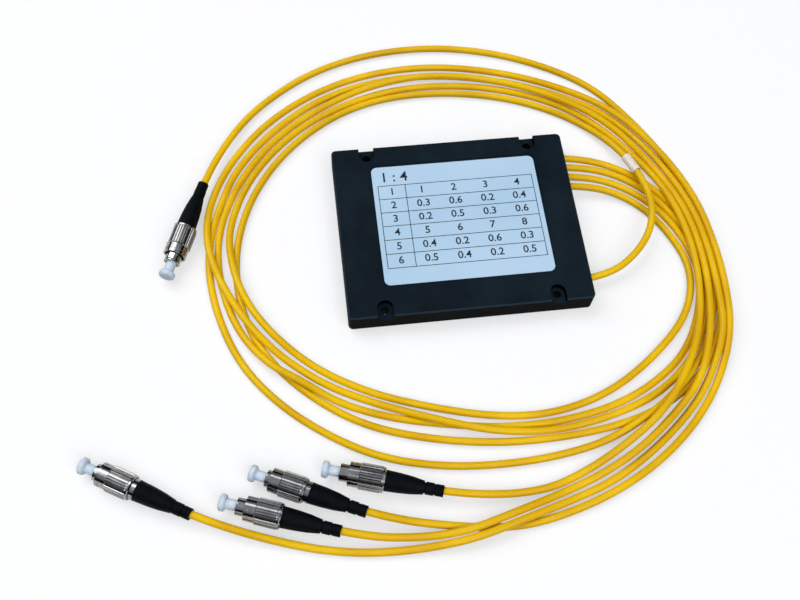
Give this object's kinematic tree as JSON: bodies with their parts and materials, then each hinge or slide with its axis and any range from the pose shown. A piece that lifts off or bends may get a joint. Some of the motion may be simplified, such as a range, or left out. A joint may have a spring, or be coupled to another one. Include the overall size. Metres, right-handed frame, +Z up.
{
  "type": "fibre optic splitter module",
  "caption": "Flat black splitter case with a printed label and yellow fibre leads, each ended in a threaded round plug with a dust cap.",
  "frame": {"origin": "middle of the case's underside", "axes": "+X along the case towards the side where the leads leave, +Y across the case, +Z up out of the label"},
  "size_m": [0.2668, 0.2312, 0.01],
  "materials": {
    "case_plastic": "fine satin moulded texture",
    "label_paper": "printed film label",
    "core_steel": "drawn tube",
    "clamp_plastic": "moulded",
    "fibre_tube": "extruded",
    "cable_jacket": "extruded satin jacket",
    "marker_film": "clear film",
    "boot_rubber": "moulded",
    "crimp_metal": "crimped",
    "plug_metal": "nickel plated",
    "ferrule_ceramic": "polished ceramic",
    "ring_steel": "spring steel",
    "nut_metal": "nickel plated, straight knurl",
    "cap_plastic": "translucent moulded"
  },
  "bodies": {
    "module": {"case_base": "case_plastic", "case_cover": "case_plastic", "label": "label_paper", "splitter_core": "core_steel", "output_clamp": "clamp_plastic", "input_clamp": "clamp_plastic", "input_fibre": "fibre_tube", "output_fibre_1": "fibre_tube", "output_fibre_2": "fibre_tube", "output_fibre_3": "fibre_tube", "output_fibre_4": "fibre_tube", "input_cable": "cable_jacket", "output_1_cable": "cable_jacket", "output_2_cable": "cable_jacket", "output_3_cable": "cable_jacket", "output_4_cable": "cable_jacket", "marker_sleeve": "marker_film", "boot_a": "boot_rubber", "crimp_sleeve_a": "crimp_metal", "plug_body_a": "plug_metal", "ferrule_a": "ferrule_ceramic", "boot_b": "boot_rubber", "crimp_sleeve_b": "crimp_metal", "plug_body_b": "plug_metal", "ferrule_b": "ferrule_ceramic", "boot_c": "boot_rubber", "crimp_sleeve_c": "crimp_metal", "plug_body_c": "plug_metal", "ferrule_c": "ferrule_ceramic", "boot_d": "boot_rubber", "crimp_sleeve_d": "crimp_metal", "plug_body_d": "plug_metal", "ferrule_d": "ferrule_ceramic", "boot_e": "boot_rubber", "crimp_sleeve_e": "crimp_metal", "plug_body_e": "plug_metal", "ferrule_e": "ferrule_ceramic"},
    "ring_a": {"clip_ring_a": "ring_steel"},
    "nut_a": {"coupling_nut_a": "nut_metal"},
    "cap_a": {"dust_cap_a": "cap_plastic"},
    "ring_b": {"clip_ring_b": "ring_steel"},
    "nut_b": {"coupling_nut_b": "nut_metal"},
    "cap_b": {"dust_cap_b": "cap_plastic"},
    "ring_c": {"clip_ring_c": "ring_steel"},
    "nut_c": {"coupling_nut_c": "nut_metal"},
    "cap_c": {"dust_cap_c": "cap_plastic"},
    "ring_d": {"clip_ring_d": "ring_steel"},
    "nut_d": {"coupling_nut_d": "nut_metal"},
    "cap_d": {"dust_cap_d": "cap_plastic"},
    "ring_e": {"clip_ring_e": "ring_steel"},
    "nut_e": {"coupling_nut_e": "nut_metal"},
    "cap_e": {"dust_cap_e": "cap_plastic"}
  },
  "joints": [
    {"name": "ring_turn_a", "type": "hinge", "parent": "module", "child": "ring_a", "pos_m": [-0.11468, 0.00629, 0.005], "axis": [-0.3584, -0.9336, 0], "continuous": true},
    {"name": "nut_slide_a", "type": "slide", "parent": "ring_a", "child": "nut_a", "axis": [-0.3584, -0.9336, 0], "range_m": [0, 0.003]},
    {"name": "cap_pull_a", "type": "slide", "parent": "module", "child": "cap_a", "axis": [-0.3584, -0.9336, 0], "range_m": [0, 0.008]},
    {"name": "ring_turn_b", "type": "hinge", "parent": "module", "child": "ring_b", "pos_m": [-0.13738, -0.0955, 0.005], "axis": [-0.866, 0.5, 0], "continuous": true},
    {"name": "nut_slide_b", "type": "slide", "parent": "ring_b", "child": "nut_b", "axis": [-0.866, 0.5, 0], "range_m": [-0.0016, 0.0014]},
    {"name": "cap_pull_b", "type": "slide", "parent": "module", "child": "cap_b", "axis": [-0.866, 0.5, 0], "range_m": [0, 0.008]},
    {"name": "ring_turn_c", "type": "hinge", "parent": "module", "child": "ring_c", "pos_m": [-0.07497, -0.10359, 0.005], "axis": [-0.9063, 0.4226, 0], "continuous": true},
    {"name": "nut_slide_c", "type": "slide", "parent": "ring_c", "child": "nut_c", "axis": [-0.9063, 0.4226, 0], "range_m": [-0.0016, 0.0014]},
    {"name": "cap_pull_c", "type": "slide", "parent": "module", "child": "cap_c", "axis": [-0.9063, 0.4226, 0], "range_m": [0, 0.008]},
    {"name": "ring_turn_d", "type": "hinge", "parent": "module", "child": "ring_d", "pos_m": [-0.04732, -0.10261, 0.005], "axis": [-0.9563, 0.2924, 0], "continuous": true},
    {"name": "nut_slide_d", "type": "slide", "parent": "ring_d", "child": "nut_d", "axis": [-0.9563, 0.2924, 0], "range_m": [0, 0.003]},
    {"name": "cap_pull_d", "type": "slide", "parent": "module", "child": "cap_d", "axis": [-0.9563, 0.2924, 0], "range_m": [0, 0.008]},
    {"name": "ring_turn_e", "type": "hinge", "parent": "module", "child": "ring_e", "pos_m": [-0.08587, -0.11177, 0.005], "axis": [-0.9397, 0.342, 0], "continuous": true},
    {"name": "nut_slide_e", "type": "slide", "parent": "ring_e", "child": "nut_e", "axis": [-0.9397, 0.342, 0], "range_m": [0, 0.003]},
    {"name": "cap_pull_e", "type": "slide", "parent": "module", "child": "cap_e", "axis": [-0.9397, 0.342, 0], "range_m": [0, 0.008]}
  ]
}
